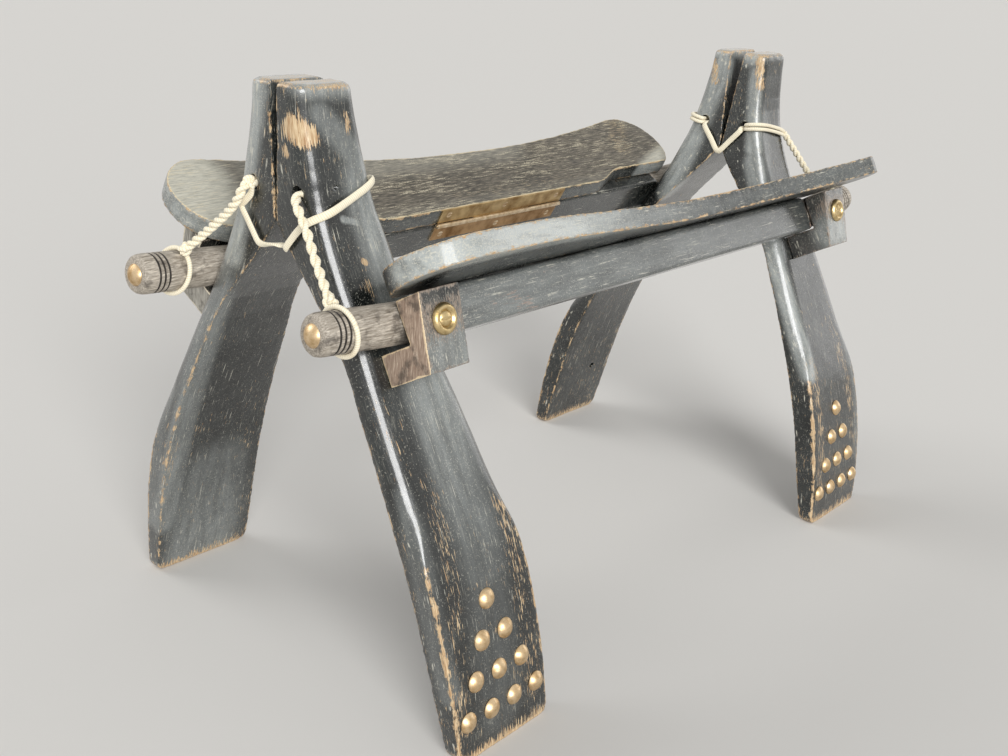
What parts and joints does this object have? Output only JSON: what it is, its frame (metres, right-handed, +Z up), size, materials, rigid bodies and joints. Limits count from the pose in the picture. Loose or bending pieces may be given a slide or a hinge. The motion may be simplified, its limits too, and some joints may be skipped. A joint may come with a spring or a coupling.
{
  "type": "camel saddle stool",
  "caption": "Folding camel saddle stool of black painted wood, with curved legs lashed at the apex, hinged tilting boards and brass fittings.",
  "frame": {"origin": "on the floor, under the middle of the stool", "axes": "+X to the right half, +Y to the rear end along the boards, +Z up; the front end is -Y"},
  "size_m": [0.4308, 0.844, 0.5],
  "materials": {
    "black_paint": "black painted wood, worn to pale wood on the edges",
    "worn_paint": "dusty black paint worn to grey-brown wood",
    "weathered_wood": "worn black paint on the bars, bare weathered wood on the pegs",
    "brass": "pale rubbed brass",
    "aged_brass": "aged brown brass",
    "cotton_cord": "cream cotton cord"
  },
  "bodies": {
    "right_side": {"right_front_leg": "black_paint", "right_rear_leg": "black_paint", "right_rail": "weathered_wood", "right_front_block": "black_paint", "right_rear_block": "black_paint", "right_rail_leaf": "aged_brass", "right_hinge_pin": "aged_brass", "right_rail_screws": "aged_brass", "right_cup_washers": "brass", "right_clamp_screws": "aged_brass", "right_front_foot_nails": "brass", "right_rear_foot_nails": "brass", "right_peg_nails": "brass", "right_front_stay": "cotton_cord", "right_rear_stay": "cotton_cord", "front_lashing": "cotton_cord", "rear_lashing": "cotton_cord"},
    "left_side": {"left_front_leg": "black_paint", "left_rear_leg": "black_paint", "left_rail": "weathered_wood", "left_front_block": "black_paint", "left_rear_block": "black_paint", "left_rail_leaf": "aged_brass", "left_hinge_pin": "aged_brass", "left_rail_screws": "aged_brass", "left_cup_washers": "brass", "left_clamp_screws": "aged_brass", "left_front_foot_nails": "brass", "left_rear_foot_nails": "brass", "left_peg_nails": "brass", "left_front_stay": "cotton_cord", "left_rear_stay": "cotton_cord"},
    "right_board": {"right_board": "worn_paint", "right_board_leaf": "aged_brass", "right_board_screws": "aged_brass"},
    "left_board": {"left_board": "worn_paint", "left_board_leaf": "aged_brass", "left_board_screws": "aged_brass"}
  },
  "joints": [
    {"name": "frame_fold", "type": "hinge", "parent": "right_side", "child": "left_side", "pos_m": [0, 0, 0.394], "axis": [0, -1, 0], "range_deg": [0, 50], "deforming": ["front_lashing", "rear_lashing"]},
    {"name": "right_board_hinge", "type": "hinge", "parent": "right_side", "child": "right_board", "pos_m": [0.0779, 0, 0.3376], "axis": [0, -1, 0], "range_deg": [0, 35]},
    {"name": "left_board_hinge", "type": "hinge", "parent": "left_side", "child": "left_board", "pos_m": [-0.0779, 0, 0.3376], "axis": [0, 1, 0], "range_deg": [0, 35]}
  ]
}
